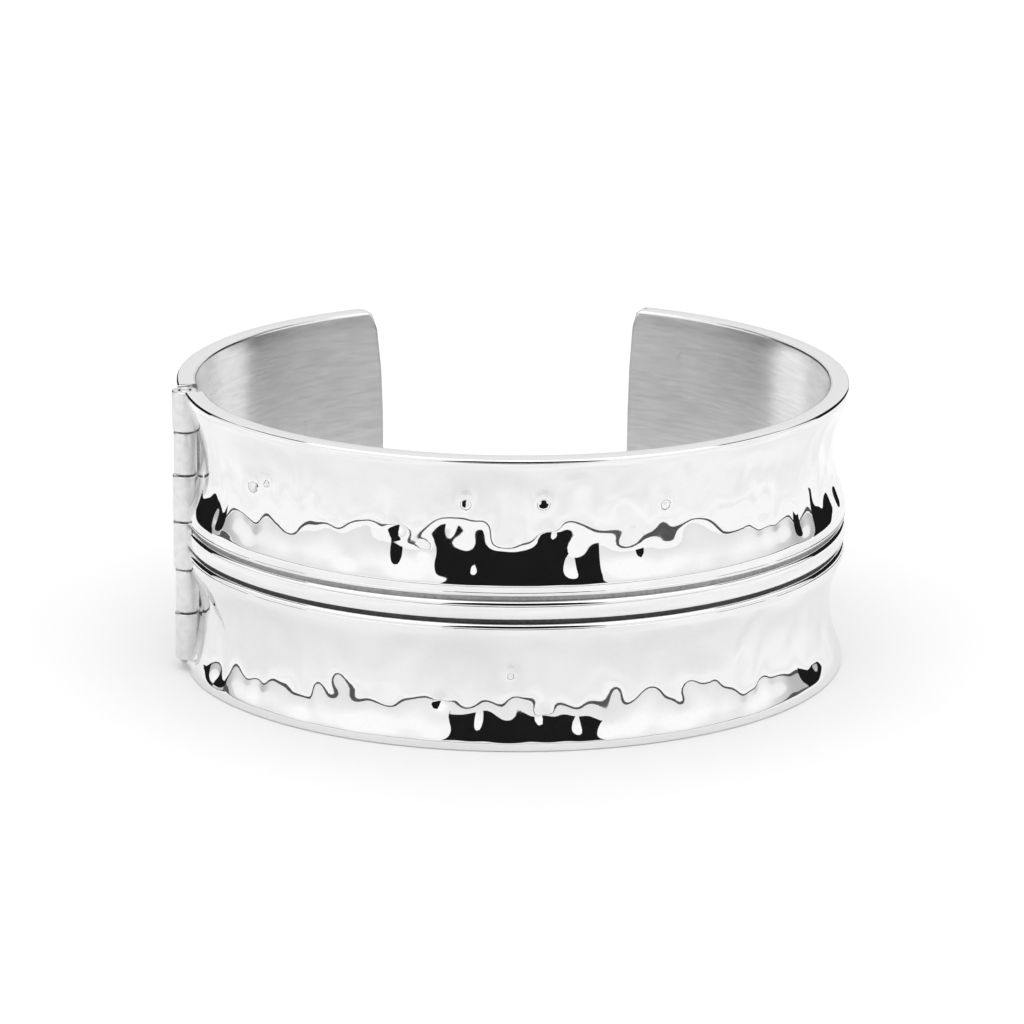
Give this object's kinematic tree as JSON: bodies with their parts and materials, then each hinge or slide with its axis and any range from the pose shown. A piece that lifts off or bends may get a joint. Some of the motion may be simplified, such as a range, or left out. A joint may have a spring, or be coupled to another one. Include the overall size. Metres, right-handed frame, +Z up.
{
  "type": "hinged cuff bangle",
  "caption": "Wide oval cuff bangle, open at the back, with a barrel hinge at one side, hollowed walls and a raised moulding round the middle.",
  "frame": {"origin": "middle of the footprint, on the surface that the lower rim stands on", "axes": "+Z up through the wrist hollow, +Y towards the opening at the back, -X towards the hinge"},
  "size_m": [0.0642, 0.0524, 0.0279],
  "materials": {
    "silver": "sterling silver, mirror polished and lightly hammered outside, satin inside",
    "pin_silver": "satin silver wire, cut flush"
  },
  "bodies": {
    "long_arm": {"long_arm": "silver", "hinge_pin": "pin_silver"},
    "short_arm": {"short_arm": "silver"}
  },
  "joints": [
    {"name": "arm_hinge", "type": "hinge", "parent": "long_arm", "child": "short_arm", "pos_m": [-0.03087, -0.00351, 0.01445], "axis": [0, 0, 1], "range_deg": [0, 60]}
  ]
}
